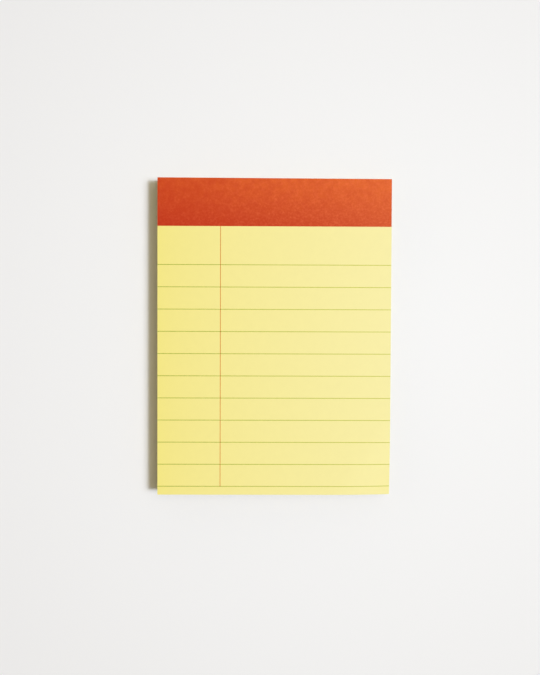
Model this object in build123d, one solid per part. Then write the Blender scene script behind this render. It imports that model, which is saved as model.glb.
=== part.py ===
from build123d import *
import math
import os

# A sticky note pad lying on its back.
# X runs across the notes, +Y points to the glued edge and +Z up off the table.
# The origin is under the middle of the pad, on the table. Sizes are in millimetres.

# One note, as the guillotine left it
note_width = 75.0
note_length = 101.9
trim_skew = 0.2
note_thickness = 0.1

# The pile of notes, whose cut edges wander from sheet to sheet and sway a little on the way down
note_count = 100
edge_wander = 0.03
pile_sway = 0.12

# The lower right corner, pressed down so that the notes there lie closer together
corner_drop = 1.8
corner_reach = 15.5
corner_bearing = -33.0

# The print on the uppermost note: a band, writing rules down the page and one margin line
band_depth = 15.45
first_rule_gap = 12.33
rule_pitch = 7.14
rule_width = 0.2
foot_space = 2.0
margin_inset = 20.2
margin_width = 0.2
ink_thickness = 0.03

# The underside: a strip of glue on the last note, and the card that covers it
adhesive_width = 18.0
adhesive_thickness = 0.05
backing_thickness = 0.3

# Heights and places that follow from the sizes above
pile_height = note_count * note_thickness
page_height = backing_thickness + pile_height
glued_edge = note_length / 2
free_edge = -note_length / 2
left_edge = -note_width / 2
right_edge = note_width / 2
band_foot = glued_edge - band_depth
first_rule = band_foot - first_rule_gap
rule_count = int((first_rule - free_edge - foot_space) / rule_pitch) + 1
last_rule = first_rule - (rule_count - 1) * rule_pitch
margin_x = left_edge + margin_inset

# The bend starts at a fold across the corner and runs downhill from there, past the corner
downhill = Vector(1, 0, 0).rotate(Axis.Z, corner_bearing)
fold_point = Vector(right_edge, free_edge, 0) - downhill * corner_reach
fold_plane = Plane(origin=fold_point, x_dir=downhill, z_dir=downhill.cross(Vector(0, 0, 1)))
bend_run = 1.5 * corner_reach
flat_run = note_width + note_length


def note_outline():
    """One note's outline: its glued edge is cut slightly out of square with the rest."""
    return make_face(
        Polyline(
            (left_edge, free_edge),
            (right_edge, free_edge),
            (right_edge, glued_edge - trim_skew),
            (left_edge, glued_edge),
            close=True,
        )
    )


def strip_across(low, high):
    """The part of a note between two heights up the page, from one side edge to the other."""
    middle = (low + high) / 2
    return note_outline() & Pos(0, middle) * Rectangle(note_width, high - low)


def sheet_line(height):
    """A sheet's surface seen along the fold: flat, then an arc down to the pressed corner.

    The drop is deepest for the page and for the ink on it, and fades to none at the card.
    """
    share = min((height - backing_thickness) / pile_height, 1)
    drop = corner_drop * share
    flat = Line((-flat_run, height), (0, height))
    if drop <= 0:
        return [flat, Line((0, height), (bend_run, height))]
    radius = (corner_reach**2 + drop**2) / (2 * drop)
    turn = math.degrees(math.asin(bend_run / radius))
    return [flat, JernArc((0, height), (1, 0), radius, -turn)]


def sheet_layer(low, high):
    """All that lies between two sheets' surfaces, wide enough for the whole pad."""
    floor = sheet_line(low)
    roof = sheet_line(high)
    near_end = Line(floor[0] @ 0, roof[0] @ 0)
    far_end = Line(floor[1] @ 1, roof[1] @ 1)
    profile = make_face([*floor, far_end, *roof, near_end])
    return extrude(fold_plane * profile, flat_run, both=True)


def note_place(number):
    """How far a note lies out of true, where the uppermost is number 0 and lies true."""
    sway = pile_sway * math.sin(2 * math.pi * number / note_count)
    wander_x = edge_wander * math.sin(2.4 * number)
    wander_y = edge_wander * math.sin(1.7 * number)
    return Pos(wander_x + sway, wander_y - sway, 0)


def pile_level(notes_above):
    """The height in the pile under that many notes, away from the pressed corner."""
    return backing_thickness + (note_count - notes_above) * note_thickness


def build_note(number):
    """One note of the pile, cut to its outline and bent with the rest."""
    column = note_place(number) * extrude(note_outline(), page_height)
    return column & sheet_layer(pile_level(number + 1), pile_level(number))


def build_adhesive_strip():
    """The glue across the back of the last note, flush with the glued edge and both sides."""
    area = strip_across(glued_edge - adhesive_width, glued_edge)
    strip = Pos(0, 0, backing_thickness) * extrude(area, adhesive_thickness)
    return note_place(note_count - 1) * strip


def build_note_stack(adhesive_strip):
    """The pile of notes as one block, seated over the glue."""
    notes = [build_note(number) for number in range(note_count)]
    return notes[0].fuse(*notes[1:]) - adhesive_strip


def printed(area):
    """A printed area as a thin layer of ink that follows the uppermost note."""
    column = extrude(area, page_height + ink_thickness)
    return column & sheet_layer(page_height, page_height + ink_thickness)


def build_header_band():
    """The coloured band from the glued edge down to its own square foot."""
    return printed(strip_across(band_foot, glued_edge))


def rule_area(number):
    """One writing rule's area, counted from the top of the page."""
    height = first_rule - number * rule_pitch
    return strip_across(height - rule_width / 2, height + rule_width / 2)


def build_ruled_lines():
    """The writing rules, a row of thin strips from edge to edge."""
    return [printed(rule_area(number)) for number in range(rule_count)]


def build_margin_line():
    """The margin line from the band to the last rule, broken where a rule crosses it."""
    middle = (band_foot + last_rule) / 2
    line = Pos(margin_x, middle) * Rectangle(margin_width, band_foot - last_rule)
    for number in range(rule_count):
        line -= rule_area(number)
    return printed(line)


def build_backing_sheet():
    """The plain card under the pile, trimmed with it."""
    return extrude(note_outline(), backing_thickness)


def write_node(name, shapes):
    """Write one node's solids to its own file."""
    solids = [solid for shape in shapes for solid in shape.solids()]
    node = solids[0] if len(solids) == 1 else Compound(children=solids)
    node.label = name
    export_step(node, f"parts/{name}.step")


os.makedirs("parts", exist_ok=True)
adhesive_strip = build_adhesive_strip()
write_node("note_stack", [build_note_stack(adhesive_strip)])
write_node("header_band", [build_header_band()])
write_node("ruled_lines", build_ruled_lines())
write_node("margin_line", [build_margin_line()])
write_node("adhesive_strip", [adhesive_strip])
write_node("backing_sheet", [build_backing_sheet()])
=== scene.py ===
"""A ruled sticky note pad on a pale table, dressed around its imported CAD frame.

X runs across the notes, +Y points to the glued edge and +Z up off the table. Blender works in
metres, so every length below is a size in millimetres times MM.
"""

import logging
import math
import random
from collections.abc import Callable
from dataclasses import dataclass
from enum import Enum, IntEnum
from typing import Any

import bmesh
import bpy
from mathutils import Matrix, Vector


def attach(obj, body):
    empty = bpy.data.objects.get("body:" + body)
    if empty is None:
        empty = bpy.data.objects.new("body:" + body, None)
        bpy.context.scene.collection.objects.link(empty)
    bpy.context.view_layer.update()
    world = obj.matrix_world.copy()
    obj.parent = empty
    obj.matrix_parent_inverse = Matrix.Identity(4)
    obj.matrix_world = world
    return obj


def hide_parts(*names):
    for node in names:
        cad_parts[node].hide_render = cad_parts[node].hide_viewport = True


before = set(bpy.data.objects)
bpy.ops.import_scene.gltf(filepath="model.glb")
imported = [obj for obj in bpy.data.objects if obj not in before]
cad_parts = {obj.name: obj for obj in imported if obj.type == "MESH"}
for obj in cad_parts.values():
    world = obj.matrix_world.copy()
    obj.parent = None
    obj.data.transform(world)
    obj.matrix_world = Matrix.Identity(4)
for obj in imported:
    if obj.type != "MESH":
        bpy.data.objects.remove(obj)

MM = 0.001
log = logging.getLogger("note_pad")

Tree = bpy.types.NodeTree
Node = bpy.types.Node
Socket = bpy.types.NodeSocket

# Places that the print, the pile and the finishes share
BACKING_TOP = 0.3 * MM
PAGE_TOP = 10.3 * MM
PAGE_WIDTH = 75.0 * MM
PAGE_LENGTH = 101.9 * MM
BAND_FOOT = 35.5 * MM
FIRST_RULE = 23.17 * MM
RULE_PITCH = 7.14 * MM
RULE_COUNT = 11
MARGIN_X = -17.3 * MM

# Faces that meet at less than this look like one bent surface
SMOOTH_BELOW = math.radians(30.0)


def linear(code: str) -> tuple[float, float, float, float]:
    """Turns an sRGB hex colour into the linear colour that shaders take, by the standard's curve.

    Args:
        code: A hash and six hex digits.

    Returns:
        Linear red, green and blue, and an alpha of 1.
    """
    channels = []
    for start in (1, 3, 5):
        share = int(code[start:start + 2], 16) / 255
        channels.append(share / 12.92 if share <= 0.04045 else ((share + 0.055) / 1.055) ** 2.4)
    return (*channels, 1.0)


def add_node(
    tree: Tree, kind: str, inputs: dict[str | int, Any] | None = None, **options: Any
) -> Node:
    """Adds one node with its settings and links.

    Args:
        tree: The node tree that it joins.
        kind: Blender's name for the kind of node, without the ShaderNode before it.
        inputs: What its inputs take, by their name or place. A socket is linked, and a number
            or a colour is set.
        options: Properties of the node itself, such as an operation.

    Returns:
        The new node.
    """
    node = tree.nodes.new("ShaderNode" + kind)
    for name, option in options.items():
        setattr(node, name, option)
    for name, value in (inputs or {}).items():
        if isinstance(value, Socket):
            tree.links.new(value, node.inputs[name])
        else:
            node.inputs[name].default_value = value
    return node


def seen_directly(tree: Tree) -> Socket:
    """Tells rays that show the background from rays that only carry its light.

    Args:
        tree: A material's or the world's node tree.

    Returns:
        One for the camera's rays and for those in a mirror or glass, and otherwise nothing.
    """
    rays = add_node(tree, "LightPath").outputs
    shiny = add_node(
        tree,
        "Math",
        {0: rays["Is Glossy Ray"], 1: rays["Is Transmission Ray"]},
        operation="MAXIMUM",
    )
    seen = add_node(
        tree, "Math", {0: rays["Is Camera Ray"], 1: shiny.outputs["Value"]}, operation="MAXIMUM"
    )
    return seen.outputs["Value"]


class MixSocket(IntEnum):
    """The sockets of a colour Mix node, by their place, since its names repeat."""

    SHARE = 0
    FIRST = 6
    SECOND = 7
    RESULT = 2


class Blend(Enum):
    """How a coat of colour joins what lies under it."""

    COVER = "MIX"
    STAIN = "MULTIPLY"


class LeafSurface(Enum):
    """The two surfaces of a note, each a material slot of the pile."""

    PAGE = 0
    CUT_EDGE = 1


@dataclass(frozen=True)
class Ramp:
    """A number that follows another in a straight line, and stays level past both ends."""

    start: float
    end: float
    low: float = 0.0
    high: float = 1.0

    def along(self, source: Socket) -> dict[str, Any]:
        """Returns the inputs of a Map Range node that follows a socket."""
        reach = {"From Min": self.start, "From Max": self.end}
        return {"Value": source, **reach, "To Min": self.low, "To Max": self.high}


@dataclass(frozen=True)
class Noise:
    """A cloudy pattern: its clouds' size, and how many finer ones they hold and how strongly."""

    size: float
    detail: float = 2.0
    roughness: float = 0.5

    def over(self, place: Socket) -> dict[str, Any]:
        """Returns the inputs of a Noise Texture node that fills a place."""
        grain = {"Scale": 1 / self.size, "Detail": self.detail, "Roughness": self.roughness}
        return {"Vector": place, **grain}


@dataclass(frozen=True)
class Coat:
    """A colour that is laid over another, more or less strongly from place to place."""

    colour: str
    share: Socket
    blend: Blend = Blend.COVER


def lay_coats(tree: Tree, ground: str, *coats: Coat) -> Socket:
    """Lays coats of colour over one another.

    Args:
        tree: The material's node tree.
        ground: The lowest colour.
        coats: The coats, from the lowest up.

    Returns:
        The colour of all of them together.
    """
    colour = linear(ground)
    for coat in coats:
        mix = add_node(
            tree,
            "Mix",
            {
                MixSocket.SHARE: coat.share,
                MixSocket.FIRST: colour,
                MixSocket.SECOND: linear(coat.colour),
            },
            data_type="RGBA",
            blend_type=coat.blend.value,
        )
        colour = mix.outputs[MixSocket.RESULT]
    return colour


@dataclass(frozen=True)
class Finish:
    """What each finish shares: its name, and how its nodes become a material."""

    name: str

    def make(self) -> bpy.types.Material:
        """Builds the material.

        Returns:
            The material, with its nodes in place.
        """
        material = bpy.data.materials.new(self.name)
        material.use_nodes = True
        tree = material.node_tree
        tree.nodes.clear()
        here = add_node(tree, "TexCoord")
        add_node(tree, "OutputMaterial", {"Surface": self.shader(tree, here)})
        return material

    def shader(self, tree: Tree, here: Node) -> Socket:
        """Adds the finish's shader.

        Args:
            tree: The material's node tree.
            here: The coordinates, of which Object is metres in the pad's own frame.

        Returns:
            The shader output that goes to the surface.
        """
        raise NotImplementedError


@dataclass(frozen=True)
class PadFinish(Finish):
    """What the finishes of the pad itself share: a sheen, and a relief that follows a pattern."""

    roughness: float = 0.5
    ior: float = 1.5
    sheen_tint: str = "#FFFFFF"
    relief: float = 0.01 * MM

    def shader(self, tree: Tree, here: Node) -> Socket:
        """Adds the finish's shader.

        Args:
            tree: The material's node tree.
            here: The coordinates, of which Object is metres in the pad's own frame.

        Returns:
            The shader output that goes to the surface.
        """
        colour, height = self.pattern(tree, here)
        bump = add_node(tree, "Bump", {"Distance": self.relief, "Height": height})
        skin = add_node(
            tree,
            "BsdfPrincipled",
            {
                "Base Color": colour,
                "Roughness": self.roughness,
                "IOR": self.ior,
                "Specular Tint": linear(self.sheen_tint),
                "Normal": bump.outputs["Normal"],
            },
        )
        return skin.outputs["BSDF"]

    def pattern(self, tree: Tree, here: Node) -> tuple[Socket, Socket]:
        """Adds the finish's own nodes.

        Args:
            tree: The material's node tree.
            here: The coordinates, of which Object is metres in the pad's own frame.

        Returns:
            The colour, and the height of the relief.
        """
        raise NotImplementedError


@dataclass(frozen=True)
class DyedWritingPaper(PadFinish):
    """Canary yellow bond paper, dyed in the pulp and smoothed between steel rolls.

    It gives a clean matt yellow with a broad soft shine towards the light, and pulp clouded so
    faintly that it only keeps the page from looking like plastic. Its yellow is also painted paler
    across the page to the right, a painted gradient of light from the lamps' side.
    """

    # Painted shade on the left and painted light on the right, blended across the page
    painted_shade_yellow: str = "#F2E477"
    painted_lit_yellow: str = "#F4E998"
    across: Ramp = Ramp(-PAGE_WIDTH / 2, PAGE_WIDTH / 2)
    painted_light_power: float = 0.5
    clouds: Noise = Noise(2.5 * MM, detail=3.0, roughness=0.6)
    cloud_tone: Ramp = Ramp(0.3, 0.7, low=0.985, high=1.0)
    # Pulp fibres are about 0.03 mm thick, too fine to show, so they are drawn this coarse
    fibres: Noise = Noise(0.18 * MM)
    roughness: float = 0.5
    ior: float = 1.5
    sheen_tint: str = "#DDEBFF"
    relief: float = 0.003 * MM

    def pattern(self, tree: Tree, here: Node) -> tuple[Socket, Socket]:
        """Adds the paper's nodes.

        Args:
            tree: The material's node tree.
            here: The coordinates.

        Returns:
            The dye's colour, and the fibres' height.
        """
        place = here.outputs["Object"]
        axes = add_node(tree, "SeparateXYZ", {"Vector": place})
        across = add_node(tree, "MapRange", self.across.along(axes.outputs["X"]))
        fade = add_node(
            tree, "Math", {0: across.outputs["Result"], 1: self.painted_light_power}, operation="POWER"
        )
        # Painted light: the yellow goes from the painted shaded tone to the painted lit tone across
        # the page
        dye = lay_coats(tree, self.painted_shade_yellow, Coat(self.painted_lit_yellow, fade.outputs["Value"]))
        clouds = add_node(tree, "TexNoise", self.clouds.over(place))
        tone = add_node(tree, "MapRange", self.cloud_tone.along(clouds.outputs["Fac"]))
        clouded = add_node(
            tree, "VectorMath", {0: dye, "Scale": tone.outputs["Result"]}, operation="SCALE"
        )
        fibres = add_node(tree, "TexNoise", self.fibres.over(place))
        return clouded.outputs["Vector"], fibres.outputs["Fac"]


@dataclass(frozen=True)
class GuillotinedEdge(PadFinish):
    """The cut edges of a pile of dyed paper, as the guillotine's knife leaves them.

    Each note takes a slightly different tone, so the pile reads as fine layers. The band and the
    rules run off the paper, so they tint the edges beside them.
    """

    dye: str = "#F5DE7C"
    deep_dye: str = "#E2C360"
    band_tint: str = "#D9713E"
    rule_tint: str = "#9CAF55"
    band_strength: Ramp = Ramp(BAND_FOOT - 0.1 * MM, BAND_FOOT + 0.1 * MM, high=0.2)
    rule_strength: Ramp = Ramp(0.0, 0.22 * MM, low=0.45, high=0.0)
    # The knife's nicks lie about 0.1 mm apart, too fine to show, so they are drawn this coarse
    scores: Noise = Noise(0.35 * MM)
    score_squeeze: tuple[float, float, float] = (1.0, 1.0, 0.08)
    score_strength: Ramp = Ramp(0.55, 0.8, high=0.22)
    # Painted shade on the table: how strongly the edges turn black for diffuse rays, so that they
    # throw less light onto it, and by how much more each way
    bounce_shade_share: float = 0.65
    bounce_shade_by_side: tuple[float, float, float] = (0.21, 0.05, 0.0)
    roughness: float = 0.75
    ior: float = 1.45
    relief: float = 0.01 * MM

    def pattern(self, tree: Tree, here: Node) -> tuple[Socket, Socket]:
        """Adds the cut edge's nodes.

        Args:
            tree: The material's node tree.
            here: The coordinates.

        Returns:
            The edge's colour, and the height of its scores.
        """
        place = here.outputs["Object"]
        up_page = add_node(tree, "SeparateXYZ", {"Vector": place}).outputs["Y"]
        tone = add_node(tree, "Attribute", attribute_name="tone")

        # The nicks leave short upright scores across many notes at once
        squeezed = add_node(
            tree, "VectorMath", {0: place, 1: self.score_squeeze}, operation="MULTIPLY"
        )
        scores = add_node(tree, "TexNoise", self.scores.over(squeezed.outputs["Vector"]))
        scored = add_node(tree, "MapRange", self.score_strength.along(scores.outputs["Fac"]))

        banded = add_node(tree, "MapRange", self.band_strength.along(up_page))
        colour = lay_coats(
            tree,
            self.dye,
            Coat(self.deep_dye, tone.outputs["Fac"]),
            Coat(self.deep_dye, scored.outputs["Result"]),
            Coat(self.band_tint, banded.outputs["Result"], Blend.STAIN),
            Coat(self.rule_tint, self.beside_rules(tree, up_page)),
            # Painted shade: black for diffuse rays only, which darkens the table beside the pile
            Coat("#000000", self.painted_bounce_shade(tree, here)),
        )
        return colour, scores.outputs["Fac"]

    def beside_rules(self, tree: Tree, up_page: Socket) -> Socket:
        """Finds the marks that the rules' ends leave.

        Args:
            tree: The material's node tree.
            up_page: The point's place up the page.

        Returns:
            How strongly the point is marked.
        """
        below_first = add_node(tree, "Math", {0: FIRST_RULE, 1: up_page}, operation="SUBTRACT")
        from_nearest = add_node(
            tree, "Math", {0: below_first.outputs["Value"], 1: RULE_PITCH / 2}, operation="PINGPONG"
        )
        mark = add_node(tree, "MapRange", self.rule_strength.along(from_nearest.outputs["Value"]))
        ruled_part = add_node(
            tree, "Math", {0: up_page, 1: FIRST_RULE + RULE_PITCH / 2}, operation="LESS_THAN"
        )
        marked = add_node(
            tree,
            "Math",
            {0: mark.outputs["Result"], 1: ruled_part.outputs["Value"]},
            operation="MULTIPLY",
        )
        return marked.outputs["Value"]

    def painted_bounce_shade(self, tree: Tree, here: Node) -> Socket:
        """Finds how strongly the edges turn black for diffuse rays, a painted shade that cuts the
        light they throw onto the table.

        Args:
            tree: The material's node tree.
            here: The coordinates, of which Normal tells which side of the pile this is.

        Returns:
            The share of black, which is nothing for rays that show the edge itself.
        """
        rays = add_node(tree, "LightPath")
        by_side = add_node(
            tree,
            "VectorMath",
            {0: here.outputs["Normal"], 1: self.bounce_shade_by_side},
            operation="DOT_PRODUCT",
        )
        bounce_shade_total = add_node(
            tree, "Math", {0: by_side.outputs["Value"], 1: self.bounce_shade_share}, operation="ADD"
        )
        sunk = add_node(
            tree,
            "Math",
            {0: bounce_shade_total.outputs["Value"], 1: rays.outputs["Is Diffuse Ray"]},
            operation="MULTIPLY",
        )
        return sunk.outputs["Value"]


@dataclass(frozen=True)
class PearlBandInk(PadFinish):
    """A solid of orange-red ink with pearl pigment, laid on in one pass of a roller.

    The pigment gives a soft golden shine towards the light and a fine grain. The colour is painted
    lighter up the band, a painted highlight where the light falls, and deeper and redder towards
    its foot and its left end, a painted shade.
    """

    # Painted highlight and shade: the lit ink up the band, the deep ink at its foot and left end
    painted_lit_ink: str = "#D14E1C"
    deep_ink: str = "#B30E08"
    grain_light: str = "#E76545"
    painted_light_up_band: Ramp = Ramp(BAND_FOOT, PAGE_LENGTH / 2)
    # Pearl flakes are about 0.05 mm wide, too fine to show, so they are drawn in clumps
    grain: Noise = Noise(0.56 * MM, roughness=0.6)
    grain_strength: Ramp = Ramp(0.42, 0.72, high=0.35)
    mottle: Noise = Noise(2.2 * MM, detail=3.0)
    mottle_strength: Ramp = Ramp(0.35, 0.7, high=0.42)
    painted_shade_left: Ramp = Ramp(-PAGE_WIDTH / 2, 0.0, low=0.36, high=0.0)
    roughness: float = 0.37
    ior: float = 1.6
    sheen_tint: str = "#FFB76B"
    relief: float = 0.004 * MM

    def pattern(self, tree: Tree, here: Node) -> tuple[Socket, Socket]:
        """Adds the ink's nodes.

        Args:
            tree: The material's node tree.
            here: The coordinates.

        Returns:
            The ink's colour, and the height of its grain.
        """
        place = here.outputs["Object"]
        axes = add_node(tree, "SeparateXYZ", {"Vector": place})
        painted_light_up_band = add_node(tree, "MapRange", self.painted_light_up_band.along(axes.outputs["Y"]))
        painted_shade_near_left = add_node(tree, "MapRange", self.painted_shade_left.along(axes.outputs["X"]))
        grain = add_node(tree, "TexNoise", self.grain.over(place))
        mottle = add_node(tree, "TexNoise", self.mottle.over(place))
        grained = add_node(tree, "MapRange", self.grain_strength.along(grain.outputs["Fac"]))
        mottled = add_node(tree, "MapRange", self.mottle_strength.along(mottle.outputs["Fac"]))
        # Painted highlight up the band and painted shade at its left end; the grain and mottle are
        # the ink's own
        colour = lay_coats(
            tree,
            self.deep_ink,
            Coat(self.painted_lit_ink, painted_light_up_band.outputs["Result"]),
            Coat(self.grain_light, grained.outputs["Result"]),
            Coat(self.deep_ink, mottled.outputs["Result"]),
            Coat(self.deep_ink, painted_shade_near_left.outputs["Result"]),
        )
        return colour, grain.outputs["Fac"]


@dataclass(frozen=True)
class LineInk(PadFinish):
    """A line of thin transparent ink that has sunk into the paper.

    It gives a matt line whose strength wavers a little along its length, and which is paler
    towards the right. Crossing is its colour over the margin line.
    """

    ink: str = "#869B0A"
    pale_ink: str = "#BEC43B"
    crossing: str | None = None
    crossing_width: float = 0.2 * MM
    waver: Noise = Noise(0.8 * MM)
    waver_strength: Ramp = Ramp(0.35, 0.7, high=0.5)
    right_strength: Ramp = Ramp(-PAGE_WIDTH / 2, PAGE_WIDTH / 2, high=0.9)
    roughness: float = 0.55
    ior: float = 1.48
    sheen_tint: str = "#FFE0A8"
    relief: float = 0.002 * MM

    def pattern(self, tree: Tree, here: Node) -> tuple[Socket, Socket]:
        """Adds the line's nodes.

        Args:
            tree: The material's node tree.
            here: The coordinates.

        Returns:
            The line's colour, and the height of its film.
        """
        place = here.outputs["Object"]
        across = add_node(tree, "SeparateXYZ", {"Vector": place}).outputs["X"]
        waver = add_node(tree, "TexNoise", self.waver.over(place))
        wavering = add_node(tree, "MapRange", self.waver_strength.along(waver.outputs["Fac"]))
        rightwards = add_node(tree, "MapRange", self.right_strength.along(across))
        coats = [
            Coat(self.pale_ink, wavering.outputs["Result"]),
            # The line is paler towards the right
            Coat(self.pale_ink, rightwards.outputs["Result"]),
        ]
        # Both inks are transparent, so a rule is darker where it crosses the margin line
        if self.crossing:
            at_margin = add_node(
                tree,
                "Math",
                {0: across, 1: MARGIN_X, 2: self.crossing_width / 2},
                operation="COMPARE",
            )
            coats.append(Coat(self.crossing, at_margin.outputs["Value"]))
        return lay_coats(tree, self.ink, *coats), waver.outputs["Fac"]


@dataclass(frozen=True)
class TackyGlue(PadFinish):
    """Repositionable acrylic glue, rolled on as microspheres, which gives a dull pebbled film."""

    milky: str = "#EDEBDB"
    clear: str = "#E4DFC4"
    # The real spheres are about 0.05 mm wide, too fine to show, so they are drawn this coarse
    sphere_size: float = 0.12 * MM
    roughness: float = 0.5
    ior: float = 1.47
    relief: float = 0.01 * MM

    def pattern(self, tree: Tree, here: Node) -> tuple[Socket, Socket]:
        """Adds the glue's nodes.

        Args:
            tree: The material's node tree.
            here: The coordinates.

        Returns:
            The glue's colour, and the height of its spheres.
        """
        spheres = add_node(
            tree, "TexVoronoi", {"Vector": here.outputs["Object"], "Scale": 1 / self.sphere_size}
        )
        from_middle = spheres.outputs["Distance"]
        domes = add_node(tree, "Math", {0: 1.0, 1: from_middle}, operation="SUBTRACT")
        colour = lay_coats(tree, self.milky, Coat(self.clear, from_middle))
        return colour, domes.outputs["Value"]


@dataclass(frozen=True)
class BackingCard(PadFinish):
    """Uncoated off-white board, pressed from several plies of bleached pulp.

    It gives a warm white that is specked with darker fibres and slightly uneven to the light.
    """

    pulp: str = "#E6E3D9"
    dull_pulp: str = "#DAD6C9"
    fleck: str = "#A79E8B"
    clouds: Noise = Noise(3.0 * MM, detail=4.0, roughness=0.6)
    fleck_spacing: float = 1.1 * MM
    fleck_strength: Ramp = Ramp(0.05, 0.12, low=0.7, high=0.0)
    # Board fibres are about 0.04 mm thick, too fine to show, so they are drawn this coarse
    fibres: Noise = Noise(0.2 * MM, detail=3.0)
    roughness: float = 0.8
    ior: float = 1.45
    relief: float = 0.01 * MM

    def pattern(self, tree: Tree, here: Node) -> tuple[Socket, Socket]:
        """Adds the card's nodes.

        Args:
            tree: The material's node tree.
            here: The coordinates.

        Returns:
            The board's colour, and the fibres' height.
        """
        place = here.outputs["Object"]
        clouds = add_node(tree, "TexNoise", self.clouds.over(place))
        flecks = add_node(tree, "TexVoronoi", {"Vector": place, "Scale": 1 / self.fleck_spacing})
        specked = add_node(tree, "MapRange", self.fleck_strength.along(flecks.outputs["Distance"]))
        colour = lay_coats(
            tree,
            self.pulp,
            Coat(self.dull_pulp, clouds.outputs["Fac"]),
            Coat(self.fleck, specked.outputs["Result"]),
        )
        fibres = add_node(tree, "TexNoise", self.fibres.over(place))
        return colour, fibres.outputs["Fac"]


@dataclass(frozen=True)
class PaintedTable(Finish):
    """A table top in matt white paint, which takes soft shadows and fades off far away.

    The paint is painted brightest at a spot to the right of the pad and darker away from there, a
    painted pool of light. Beyond the pad's surroundings the camera sees a plain pale surface.
    """

    # Painted light: the white is painted lighter near a spot and dimmer away from it, a painted
    # pool of light
    painted_lit_white: str = "#F8F9F8"
    painted_dim_white: str = "#ECECEB"
    distance: str = "#EFEEEC"
    painted_light_spot: tuple[float, float, float] = (42.0 * MM, 5.6 * MM, 0.0)
    painted_light_fall_off: Ramp = Ramp(0.0, 173.0 * MM)
    painted_light_fall_power: float = 1.25
    fade: Ramp = Ramp(150.0 * MM, 450.0 * MM)
    roughness: float = 0.9
    gloss: float = 0.1

    def shader(self, tree: Tree, here: Node) -> Socket:
        """Adds the table's nodes.

        Args:
            tree: The material's node tree.
            here: The coordinates.

        Returns:
            The table's shader.
        """
        place = here.outputs["Object"]
        # Painted pool of light around the spot
        from_painted_light_spot = add_node(
            tree, "VectorMath", {0: place, 1: self.painted_light_spot}, operation="DISTANCE"
        )
        reach = add_node(tree, "MapRange", self.painted_light_fall_off.along(from_painted_light_spot.outputs["Value"]))
        painted_light_fall = add_node(
            tree, "Math", {0: reach.outputs["Result"], 1: self.painted_light_fall_power}, operation="POWER"
        )
        paint = add_node(
            tree,
            "BsdfPrincipled",
            {
                "Base Color": lay_coats(tree, self.painted_lit_white, Coat(self.painted_dim_white, painted_light_fall.outputs["Value"])),
                "Roughness": self.roughness,
                "Specular IOR Level": self.gloss,
            },
        )
        glow = add_node(tree, "Emission", {"Color": linear(self.distance)})
        from_pad = add_node(tree, "VectorMath", {0: place}, operation="LENGTH")
        faded = add_node(
            tree,
            "MapRange",
            self.fade.along(from_pad.outputs["Value"]),
            interpolation_type="SMOOTHSTEP",
        )
        seen = add_node(
            tree,
            "Math",
            {0: faded.outputs["Result"], 1: seen_directly(tree)},
            operation="MULTIPLY",
        )
        blend = add_node(
            tree,
            "MixShader",
            {"Fac": seen.outputs["Value"], 1: paint.outputs["BSDF"], 2: glow.outputs["Emission"]},
        )
        return blend.outputs["Shader"]


def dress(piece: bpy.types.Object, finish: Finish) -> None:
    """Puts one finish all over a piece.

    Args:
        piece: A CAD node or a new piece.
        finish: What it is made of.
    """
    piece.data.materials.clear()
    piece.data.materials.append(finish.make())


def add_block(name: str, low: Vector, high: Vector) -> bpy.types.Object:
    """Adds a rectangular block between two corners, with its place in its mesh.

    Args:
        name: The object's name.
        low: The lowest corner.
        high: The highest corner.

    Returns:
        The block, active and selected on its own.
    """
    bpy.ops.object.select_all(action="DESELECT")
    bpy.ops.mesh.primitive_cube_add(size=1.0, location=(low + high) / 2, scale=high - low)
    block = bpy.context.active_object
    block.name = name
    block.data.name = name
    bpy.ops.object.transform_apply(location=True, rotation=False, scale=True)
    return block


def shift_vertices(
    piece: bpy.types.Object, chosen: Callable[[Vector], bool], step: Vector
) -> None:
    """Moves the vertices that a test picks out by their place.

    Args:
        piece: The active object.
        chosen: The test, which is given a vertex's place.
        step: How far they move.
    """
    bpy.ops.object.mode_set(mode="EDIT")
    bpy.ops.mesh.select_mode(type="VERT")
    bpy.ops.mesh.select_all(action="DESELECT")
    mesh = bmesh.from_edit_mesh(piece.data)
    for vertex in mesh.verts:
        vertex.select_set(chosen(vertex.co))
    mesh.select_flush_mode()
    bmesh.update_edit_mesh(piece.data)
    bpy.ops.transform.translate(value=step)
    bpy.ops.object.mode_set(mode="OBJECT")


def copy_piece(piece: bpy.types.Object) -> bpy.types.Object:
    """Copies a piece into the scene.

    Args:
        piece: What is copied.

    Returns:
        The copy, with its own mesh, active and selected on its own.
    """
    copy = piece.copy()
    copy.data = piece.data.copy()
    bpy.context.scene.collection.objects.link(copy)
    bpy.ops.object.select_all(action="DESELECT")
    copy.select_set(True)
    bpy.context.view_layer.objects.active = copy
    return copy


def join_pieces(name: str, pieces: list[bpy.types.Object]) -> bpy.types.Object:
    """Joins pieces into one object, which is smooth where it only bends.

    Args:
        name: The new object's name.
        pieces: What is joined.

    Returns:
        The joined object.
    """
    bpy.ops.object.select_all(action="DESELECT")
    for piece in pieces:
        piece.select_set(True)
    bpy.context.view_layer.objects.active = pieces[0]
    bpy.ops.object.join()
    bpy.ops.object.shade_smooth_by_angle(angle=SMOOTH_BELOW)
    joined = bpy.context.active_object
    joined.name = name
    joined.data.name = name
    return joined


def ride_as(piece: bpy.types.Object, node: str) -> None:
    """Ties a new piece to the pad in place of one CAD node.

    Args:
        piece: The finished piece.
        node: The node that it stands for.
    """
    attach(piece, "root")
    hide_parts(node)


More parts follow.
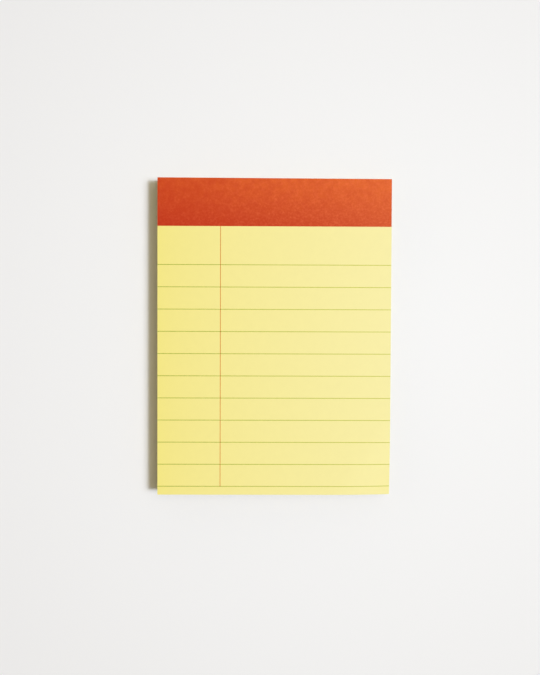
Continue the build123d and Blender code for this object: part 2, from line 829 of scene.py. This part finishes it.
@dataclass(frozen=True)
class PressedCorner:
    """The lower right corner, pressed down so that the notes there lie closer together."""

    drop: float = 1.8 * MM
    reach: float = 15.5 * MM
    bearing: float = math.radians(-33.0)
    crease_count: int = 12
    # The creases run on this far past the corner, for the notes that stick out there
    overrun: float = 0.3 * MM
    # A note that drops less than this lies flat
    least_drop: float = 1e-6 * MM

    @property
    def downhill(self) -> Vector:
        """Returns the level direction in which the notes fall away."""
        return Vector((math.cos(self.bearing), math.sin(self.bearing), 0.0))

    @property
    def fold_point(self) -> Vector:
        """Returns the point, short of the corner, from which the notes fall away."""
        corner = Vector((PAGE_WIDTH / 2, -PAGE_LENGTH / 2, 0.0))
        return corner - self.downhill * self.reach

    def sag(self, place: Vector, height: float) -> float:
        """Works out how far a note has been pressed down at one point.

        Args:
            place: The point, of which only X and Y count.
            height: How high the note lies where it is flat.

        Returns:
            The distance down, in metres.
        """
        along = (Vector((place.x, place.y, 0.0)) - self.fold_point).dot(self.downhill)
        drop = self.drop * (height - BACKING_TOP) / (PAGE_TOP - BACKING_TOP)
        if along <= 0 or drop <= self.least_drop:
            return 0.0
        radius = (self.reach**2 + drop**2) / (2 * drop)
        return radius - math.sqrt(radius**2 - along**2)

    def crease(self) -> None:
        """Cuts the active piece across at even steps, from one short of the fold, to bend there."""
        step = (self.reach + self.overrun) / self.crease_count
        bpy.ops.object.mode_set(mode="EDIT")
        for number in range(-1, self.crease_count + 1):
            bpy.ops.mesh.select_all(action="SELECT")
            bpy.ops.mesh.bisect(
                plane_co=self.fold_point + self.downhill * step * number,
                plane_no=self.downhill,
            )
        bpy.ops.object.mode_set(mode="OBJECT")

    def press(self, piece: bpy.types.Object, height: float) -> None:
        """Lowers a creased piece where it lies over the corner.

        Args:
            piece: The piece, whose thickness stays as it is.
            height: How high the note that it belongs to lies where it is flat.
        """
        for vertex in piece.data.vertices:
            vertex.co.z -= self.sag(vertex.co, height)


@dataclass(frozen=True)
class PileMap:
    """How the pile's surfaces lie on one flat map.

    The page has the most room. The pages inside the pile look alike, so they share one place.
    Each note has four strips for its cut edges, beside those of the notes next to it. Places on
    the map run from 0 to 1 across and up.
    """

    name: str = "OFBake"
    page_corner: tuple[float, float] = (0.005, 0.005)
    inner_corner: tuple[float, float] = (0.005, 0.505)
    page_span: tuple[float, float] = (0.36, 0.49)
    side_start: float = 0.385
    end_start: float = 0.695
    strip_span: float = 0.3
    strips_in_column: int = 200
    strip_inset: float = 0.1

    def on_page(self, place: Vector, uppermost: bool) -> tuple[float, float]:
        """Finds a page's point on the map.

        Args:
            place: The point, on the flat note.
            uppermost: Whether it lies on the pad's own page.

        Returns:
            Its place across and up the map.
        """
        corner = self.page_corner if uppermost else self.inner_corner
        return (
            corner[0] + self.page_span[0] * (place.x / PAGE_WIDTH + 0.5),
            corner[1] + self.page_span[1] * (place.y / PAGE_LENGTH + 0.5),
        )

    def on_edge(self, place: Vector, facing: Vector, row: int, up: float) -> tuple[float, float]:
        """Finds a cut edge's point on the map.

        Args:
            place: The point, on the flat note.
            facing: Which way the edge faces.
            row: The note's number in the pile.
            up: How far up the edge the point lies, from 0 to 1.

        Returns:
            Its place across and up the map.
        """
        if abs(facing.x) > abs(facing.y):
            across = self.side_start + self.strip_span * (place.y / PAGE_LENGTH + 0.5)
            second = facing.x > 0
        else:
            across = self.end_start + self.strip_span * (place.x / PAGE_WIDTH + 0.5)
            second = facing.y > 0
        strip = row + self.strips_in_column // 2 if second else row
        inside = self.strip_inset + (1 - 2 * self.strip_inset) * up
        return across, (strip + inside) / self.strips_in_column

    def lay_out(self, mesh: bpy.types.Mesh, number: int, thickness: float) -> None:
        """Gives one flat note its map.

        Args:
            mesh: The note's own mesh.
            number: How many notes lie over it.
            thickness: How thick the note is.
        """
        layer = mesh.uv_layers.new(name=self.name)
        for face in mesh.polygons:
            uppermost = number == 0 and face.normal.z > 0
            for corner in face.loop_indices:
                place = mesh.vertices[mesh.loops[corner].vertex_index].co
                if face.material_index == LeafSurface.PAGE.value:
                    spot = self.on_page(place, uppermost)
                else:
                    spot = self.on_edge(place, face.normal, number, place.z / thickness)
                layer.uv[corner].vector = spot


@dataclass(frozen=True)
class EdgeTones:
    """How the tone of the cut edges changes down the pile, from 0 for pale to 1 for deep.

    It drifts from note to note, as paper from one roll does, and each note adds a little of its
    own.
    """

    start: float = 0.3
    drift: float = 0.16
    deepest_drift: float = 0.7
    own: float = 0.3


@dataclass(frozen=True)
class NotePile:
    """A hundred notes, glued along one edge and trimmed together."""

    corner: PressedCorner
    flat_map: PileMap = PileMap()
    tones: EdgeTones = EdgeTones()
    paper: DyedWritingPaper = DyedWritingPaper("dyed_writing_paper")
    cut_edge: GuillotinedEdge = GuillotinedEdge("guillotined_edge")
    count: int = 100
    pitch: float = 0.1 * MM
    thickness: float = 0.09 * MM
    trim_skew: float = 0.2 * MM
    # How far the edges wander, and by how many radians from note to note across and along
    edge_wander: float = 0.03 * MM
    wander_steps: tuple[float, float] = (2.4, 1.7)
    sway: float = 0.12 * MM
    # How many of the notes are trimmed shorter, and by how little and how much
    trimmed_share: float = 0.12
    trims: tuple[float, float] = (0.03 * MM, 0.09 * MM)
    seed: int = 11

    def model_note(self) -> bpy.types.Object:
        """Models one note, lying flat on the ground plane.

        Returns:
            The note, with creases over the corner that is pressed down.
        """
        half = Vector((PAGE_WIDTH / 2, PAGE_LENGTH / 2, 0.0))
        note = add_block("note", -half, half + Vector((0.0, 0.0, self.thickness)))
        shift_vertices(
            note,
            lambda place: place.x > 0 and place.y > 0,
            Vector((0.0, -self.trim_skew, 0.0)),
        )
        self.corner.crease()
        for finish in (self.paper, self.cut_edge):
            note.data.materials.append(finish.make())
        for face in note.data.polygons:
            level = abs(face.normal.z) > max(abs(face.normal.x), abs(face.normal.y))
            surface = LeafSurface.PAGE if level else LeafSurface.CUT_EDGE
            face.material_index = surface.value
        return note

    def place_note(
        self, note: bpy.types.Object, number: int, tone: float, trim: float
    ) -> bpy.types.Object:
        """Copies the note to its place in the pile.

        Args:
            note: The note that is copied.
            number: How many notes lie over it.
            tone: How deep its cut edges look, from 0 to 1.
            trim: How far its edges stand back from the others.

        Returns:
            The copy, with its own mesh.
        """
        copy = copy_piece(note)
        self.flat_map.lay_out(copy.data, number, self.thickness)
        top = PAGE_TOP - number * self.pitch
        gap = self.pitch - self.thickness
        sway = self.sway * math.sin(2 * math.pi * number / self.count)
        wander = [self.edge_wander * math.sin(step * number) for step in self.wander_steps]
        shift = Vector((wander[0] + sway, wander[1] - sway, 0.0))
        for vertex in copy.data.vertices:
            vertex.co.x *= 1 - 2 * trim / PAGE_WIDTH
            vertex.co.y *= 1 - 2 * trim / PAGE_LENGTH
            if vertex.co.z > self.thickness / 2:
                vertex.co.z = top - self.corner.sag(vertex.co, top)
            else:
                foot = top - self.pitch
                vertex.co.z = foot - self.corner.sag(vertex.co, foot) + gap
            vertex.co += shift
        attribute = copy.data.attributes.new("tone", "FLOAT", "FACE")
        attribute.data.foreach_set("value", [tone] * len(copy.data.polygons))
        return copy

    def build(self) -> bpy.types.Object:
        """Builds the pile and dresses it.

        Returns:
            The pile, as one object.
        """
        draw = random.Random(self.seed)
        note = self.model_note()
        notes = []
        drift = self.tones.start
        for number in range(self.count):
            drift += draw.uniform(-self.tones.drift, self.tones.drift)
            drift = min(max(drift, 0.0), self.tones.deepest_drift)
            tone = min(drift + draw.uniform(0.0, self.tones.own), 1.0)
            stands_back = number > 0 and draw.random() < self.trimmed_share
            trim = draw.uniform(*self.trims) if stands_back else 0.0
            notes.append(self.place_note(note, number, tone, trim))
        bpy.data.objects.remove(note)
        pile = join_pieces("note_pile", notes)
        ride_as(pile, "note_stack")
        return pile


@dataclass(frozen=True)
class PagePrint:
    """What is printed on the uppermost note: the band, the writing rules and the margin line."""

    corner: PressedCorner
    band_ink: PearlBandInk = PearlBandInk("pearl_band_ink")
    rule_ink: LineInk = LineInk("green_rule_ink", crossing="#6B4A0C")
    margin_ink: LineInk = LineInk("red_margin_ink", ink="#CC6A02", pale_ink="#DA8510")
    rule_width: float = 0.2 * MM
    film: float = 0.025 * MM
    sunk: float = 0.005 * MM

    def model_rule(self) -> bpy.types.Object:
        """Models one flat rule across the page, lying where the first one does.

        Returns:
            The rule.
        """
        left, right = -PAGE_WIDTH / 2, PAGE_WIDTH / 2
        low = Vector((left, FIRST_RULE - self.rule_width / 2, PAGE_TOP - self.sunk))
        high = Vector((right, FIRST_RULE + self.rule_width / 2, PAGE_TOP + self.film))
        return add_block("rule", low, high)

    def build_rules(self) -> bpy.types.Object:
        """Builds the rules down the page, which follow the pressed corner.

        Returns:
            The rules, as one object.
        """
        rule = self.model_rule()
        rules = []
        for number in range(RULE_COUNT):
            copy = copy_piece(rule)
            for vertex in copy.data.vertices:
                vertex.co.y -= number * RULE_PITCH
            self.corner.crease()
            self.corner.press(copy, PAGE_TOP)
            rules.append(copy)
        bpy.data.objects.remove(rule)
        lines = join_pieces("writing_rules", rules)
        dress(lines, self.rule_ink)
        ride_as(lines, "ruled_lines")
        return lines

    def dress_band(self, band: bpy.types.Object) -> None:
        """Gives the band its ink."""
        dress(band, self.band_ink)

    def dress_margin(self, line: bpy.types.Object) -> None:
        """Gives the margin line its ink."""
        dress(line, self.margin_ink)


@dataclass(frozen=True)
class Underside:
    """The card under the last note and the strip of glue that holds it."""

    board: BackingCard = BackingCard("uncoated_backing_card")
    glue: TackyGlue = TackyGlue("tacky_acrylic_glue")

    def dress_card(self, card: bpy.types.Object) -> None:
        """Gives the backing card its board."""
        dress(card, self.board)

    def dress_glue(self, strip: bpy.types.Object) -> None:
        """Gives the strip its glue."""
        dress(strip, self.glue)


@dataclass(frozen=True)
class OverheadCamera:
    """A camera that looks almost straight down on the page."""

    height: float = 345.0 * MM
    page_centre: tuple[float, float, float] = (0.0, -0.05 * MM, PAGE_TOP)
    tilt: float = math.radians(1.94)
    roll: float = math.radians(0.65)
    turn: float = math.radians(-0.22)
    offset: tuple[float, float] = (1.36 * MM, 0.07 * MM)
    # The lens and the sensor are in millimetres, as Blender's camera takes them
    lens: float = 57.26
    sensor: float = 36.0

    def build(self) -> bpy.types.Object:
        """Adds the camera and makes it the scene's own.

        Returns:
            The camera.
        """
        bpy.ops.object.camera_add()
        camera = bpy.context.active_object
        camera.name = "overhead_camera"
        camera.data.lens = self.lens
        camera.data.sensor_width = self.sensor
        facing = (
            Matrix.Rotation(self.tilt, 4, "X")
            @ Matrix.Rotation(self.roll, 4, "Y")
            @ Matrix.Rotation(self.turn, 4, "Z")
        )
        back_off = Matrix.Translation((-self.offset[0], -self.offset[1], self.height))
        camera.matrix_world = (
            Matrix.Translation(self.page_centre) @ facing.transposed() @ back_off
        )
        bpy.context.scene.camera = camera
        return camera


@dataclass(frozen=True)
class SoftLamp:
    """One round soft lamp, placed by how far it leans over from straight above the pad.

    The share is of the light at which a colour on the table renders as it is written, so the
    lamps' shares and the fill add up to about one.
    """

    name: str
    lean_right: float
    lean_back: float
    half_width: float
    share: float
    colour: tuple[float, float, float] = (1.0, 1.06, 1.24)
    distance: float = 8000.0 * MM

    def build(self) -> bpy.types.Object:
        """Adds the lamp, turned towards the pad.

        Returns:
            The lamp.
        """
        towards = Vector((math.tan(self.lean_right), math.tan(self.lean_back), 1.0)).normalized()
        bpy.ops.object.light_add(
            type="AREA",
            location=towards * self.distance,
            rotation=towards.to_track_quat("Z", "Y").to_euler(),
        )
        lamp = bpy.context.active_object
        lamp.name = self.name
        lamp.data.shape = "DISK"
        lamp.data.size = 2 * self.distance * math.tan(self.half_width)
        lamp.data.energy = self.share * (math.pi * self.distance) ** 2 / towards.z
        lamp.data.color = self.colour
        return lamp


@dataclass(frozen=True)
class StudioLight:
    """Cool soft light from the right, a broad warm panel further back, and a warm fill.

    The fill comes from all round, and more strongly from behind the glued edge.
    """

    lamps: tuple[SoftLamp, ...] = (
        SoftLamp(
            "lamp_core",
            lean_right=math.radians(21.3),
            lean_back=math.radians(0.1),
            half_width=math.radians(2.3),
            share=0.22,
        ),
        SoftLamp(
            "lamp_diffuser",
            lean_right=math.radians(24.1),
            lean_back=math.radians(0.1),
            half_width=math.radians(7.8),
            share=0.36,
        ),
        SoftLamp(
            "broad_panel",
            lean_right=math.radians(14.2),
            lean_back=math.radians(10.0),
            half_width=math.radians(14.0),
            share=0.18,
            colour=(1.0, 0.9, 0.74),
        ),
    )
    fill: float = 0.26
    fill_lean: float = 0.35
    fill_colour: tuple[float, float, float] = (1.0, 0.885, 0.58)
    background: str = "#EFEEEC"

    def build_lamps(self) -> list[bpy.types.Object]:
        """Adds the lamps.

        Returns:
            The lamps, in order.
        """
        return [lamp.build() for lamp in self.lamps]

    def build_fill(self) -> bpy.types.World:
        """Adds the world, which fills the shadows and is a pale background to the camera.

        Returns:
            The world.
        """
        world = bpy.data.worlds.new("pale_room")
        world.use_nodes = True
        tree = world.node_tree
        tree.nodes.clear()
        outwards = add_node(tree, "TexCoord").outputs["Generated"]
        to_back = add_node(tree, "SeparateXYZ", {"Vector": outwards}).outputs["Y"]
        weakest, strongest = self.fill * (1 - self.fill_lean), self.fill * (1 + self.fill_lean)
        lean = Ramp(-1.0, 1.0, low=weakest, high=strongest)
        strength = add_node(tree, "MapRange", lean.along(to_back))
        light = add_node(
            tree,
            "Background",
            {"Color": (*self.fill_colour, 1.0), "Strength": strength.outputs["Result"]},
        )
        backdrop = add_node(tree, "Background", {"Color": linear(self.background)})
        blend = add_node(
            tree,
            "MixShader",
            {"Fac": seen_directly(tree), 1: light.outputs[0], 2: backdrop.outputs[0]},
        )
        add_node(tree, "OutputWorld", {"Surface": blend.outputs["Shader"]})
        bpy.context.scene.world = world
        return world


@dataclass(frozen=True)
class Table:
    """The pale table top that the pad lies on, which is no part of the object."""

    span: float = 8000.0 * MM
    paint: PaintedTable = PaintedTable("matt_white_table")

    def build(self) -> bpy.types.Object:
        """Builds the table top.

        Returns:
            The table top.
        """
        bpy.ops.object.select_all(action="DESELECT")
        bpy.ops.mesh.primitive_plane_add(size=self.span)
        table = bpy.context.active_object
        table.name = "table_top"
        dress(table, self.paint)
        return table


def main() -> None:
    """Builds the scene in order and reports each piece."""
    logging.basicConfig(level=logging.INFO, format="%(message)s")
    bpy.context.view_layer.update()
    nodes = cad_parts
    bpy.context.scene.view_settings.view_transform = "Standard"

    camera = OverheadCamera().build()
    log.info("camera: %s", camera.name)
    light = StudioLight()
    for lamp in light.build_lamps():
        log.info("lamp: %s", lamp.name)
    log.info("fill: %s", light.build_fill().name)
    log.info("stage: %s", Table().build().name)

    corner = PressedCorner()
    pile = NotePile(corner).build()
    log.info("notes: %s, %d faces", pile.name, len(pile.data.polygons))
    page_print = PagePrint(corner)
    rules = page_print.build_rules()
    log.info("rules: %s, %d faces", rules.name, len(rules.data.polygons))
    page_print.dress_band(nodes["header_band"])
    page_print.dress_margin(nodes["margin_line"])
    log.info("print dressed: header_band, margin_line")
    underside = Underside()
    underside.dress_card(nodes["backing_sheet"])
    underside.dress_glue(nodes["adhesive_strip"])
    log.info("underside dressed: backing_sheet, adhesive_strip")


if __name__ == "__main__":
    main()
